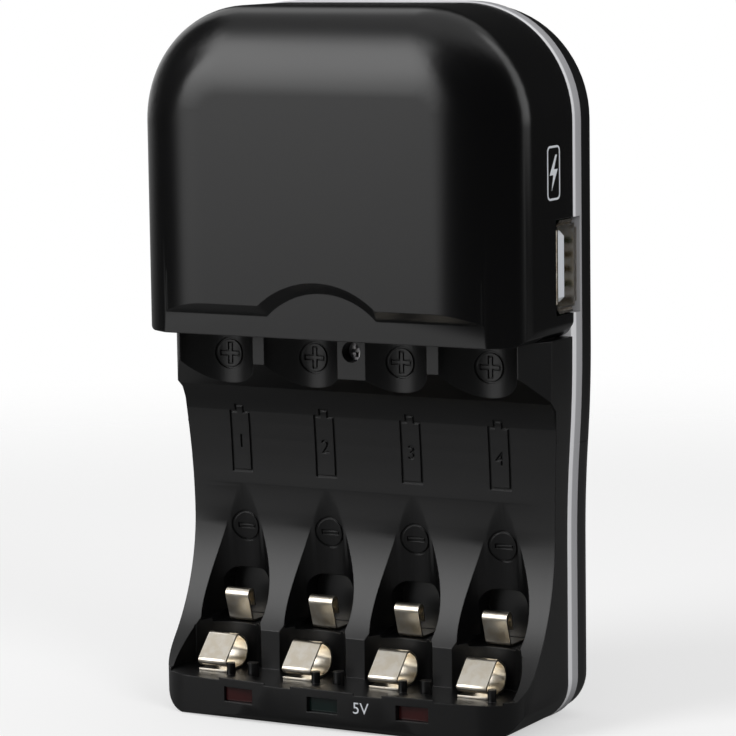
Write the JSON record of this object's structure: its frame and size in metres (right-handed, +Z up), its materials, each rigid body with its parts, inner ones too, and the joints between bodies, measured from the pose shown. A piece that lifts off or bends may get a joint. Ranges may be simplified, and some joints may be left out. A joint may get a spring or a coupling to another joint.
{
  "type": "battery charger",
  "caption": "Upright wall-plug charger for AA and AAA cells with a bulging hood, open bays with sprung contacts, a USB output and a folding plug.",
  "frame": {"origin": "middle of the footprint, on the surface it stands on", "axes": "+Z up along the case, -Y towards the open bays, +X to the side with the output socket"},
  "size_m": [0.069, 0.032, 0.115],
  "materials": {
    "black_plastic": "satin moulded black",
    "hood_plastic": "smooth satin-gloss black",
    "silver_trim": "satin silver",
    "nickel_leaf": "nickel-plated spring steel",
    "socket_steel": "bright tinned steel",
    "white_plastic": "smooth white insulator",
    "gold_strip": "plated contact strip",
    "red_window": "dark red tinted clear",
    "green_window": "dark green tinted clear",
    "led_resin": "diffused resin",
    "board_green": "solder mask",
    "ferrite": "sintered ferrite",
    "winding_tape": "yellow winding tape",
    "capacitor_sleeve": "shrink sleeve",
    "chip_resin": "moulded resin",
    "resistor_coat": "flameproof coating",
    "plug_plastic": "satin black",
    "blade_brass": "nickel-plated brass",
    "screw_steel": "zinc-plated steel"
  },
  "bodies": {
    "case": {"front_housing": "black_plastic", "hood_cover": "hood_plastic", "trim_band": "silver_trim", "rear_cover": "black_plastic", "usb_shell": "socket_steel", "usb_tongue": "white_plastic", "usb_pins": "gold_strip", "charge_window_left": "red_window", "power_window": "green_window", "charge_window_right": "red_window", "indicator_leds": "led_resin", "main_board": "board_green", "transformer": "ferrite", "transformer_winding": "winding_tape", "filter_capacitor": "capacitor_sleeve", "output_capacitor": "capacitor_sleeve", "control_chip": "chip_resin", "fuse_resistor": "resistor_coat", "plug_pivot_pin": "screw_steel", "plug_wipers": "gold_strip", "case_screws": "screw_steel", "front_screw": "screw_steel", "positive_contact_1": "nickel_leaf", "positive_contact_2": "nickel_leaf", "positive_contact_3": "nickel_leaf", "positive_contact_4": "nickel_leaf"},
    "plug": {"plug_carrier": "plug_plastic", "plug_blade_left": "blade_brass", "plug_blade_right": "blade_brass"},
    "aa_leaf_1": {"aa_spring_1": "nickel_leaf"},
    "aaa_leaf_1": {"aaa_spring_1": "nickel_leaf"},
    "aa_leaf_2": {"aa_spring_2": "nickel_leaf"},
    "aaa_leaf_2": {"aaa_spring_2": "nickel_leaf"},
    "aa_leaf_3": {"aa_spring_3": "nickel_leaf"},
    "aaa_leaf_3": {"aaa_spring_3": "nickel_leaf"},
    "aa_leaf_4": {"aa_spring_4": "nickel_leaf"},
    "aaa_leaf_4": {"aaa_spring_4": "nickel_leaf"}
  },
  "joints": [
    {"name": "plug_fold", "type": "hinge", "parent": "case", "child": "plug", "pos_m": [0, 0.0112, 0.082], "axis": [1, 0, 0], "range_deg": [0, 90]},
    {"name": "aa_leaf_bend_1", "type": "hinge", "parent": "case", "child": "aa_leaf_1", "pos_m": [-0.0237, -0.003, 0.00903], "axis": [1, 0, 0], "range_deg": [0, 4.5], "stiffness_Nm_per_rad": 0.05, "deforming": ["aa_spring_1"]},
    {"name": "aaa_leaf_bend_1", "type": "hinge", "parent": "case", "child": "aaa_leaf_1", "pos_m": [-0.0237, 0.0003, 0.01323], "axis": [1, 0, 0], "range_deg": [0, 8], "stiffness_Nm_per_rad": 0.05, "deforming": ["aaa_spring_1"]},
    {"name": "aa_leaf_bend_2", "type": "hinge", "parent": "case", "child": "aa_leaf_2", "pos_m": [-0.0079, -0.003, 0.00903], "axis": [1, 0, 0], "range_deg": [0, 4.5], "stiffness_Nm_per_rad": 0.05, "deforming": ["aa_spring_2"]},
    {"name": "aaa_leaf_bend_2", "type": "hinge", "parent": "case", "child": "aaa_leaf_2", "pos_m": [-0.0079, 0.0003, 0.01323], "axis": [1, 0, 0], "range_deg": [0, 8], "stiffness_Nm_per_rad": 0.05, "deforming": ["aaa_spring_2"]},
    {"name": "aa_leaf_bend_3", "type": "hinge", "parent": "case", "child": "aa_leaf_3", "pos_m": [0.0079, -0.003, 0.00903], "axis": [1, 0, 0], "range_deg": [0, 4.5], "stiffness_Nm_per_rad": 0.05, "deforming": ["aa_spring_3"]},
    {"name": "aaa_leaf_bend_3", "type": "hinge", "parent": "case", "child": "aaa_leaf_3", "pos_m": [0.0079, 0.0003, 0.01323], "axis": [1, 0, 0], "range_deg": [0, 8], "stiffness_Nm_per_rad": 0.05, "deforming": ["aaa_spring_3"]},
    {"name": "aa_leaf_bend_4", "type": "hinge", "parent": "case", "child": "aa_leaf_4", "pos_m": [0.0237, -0.003, 0.00903], "axis": [1, 0, 0], "range_deg": [0, 4.5], "stiffness_Nm_per_rad": 0.05, "deforming": ["aa_spring_4"]},
    {"name": "aaa_leaf_bend_4", "type": "hinge", "parent": "case", "child": "aaa_leaf_4", "pos_m": [0.0237, 0.0003, 0.01323], "axis": [1, 0, 0], "range_deg": [0, 8], "stiffness_Nm_per_rad": 0.05, "deforming": ["aaa_spring_4"]}
  ]
}
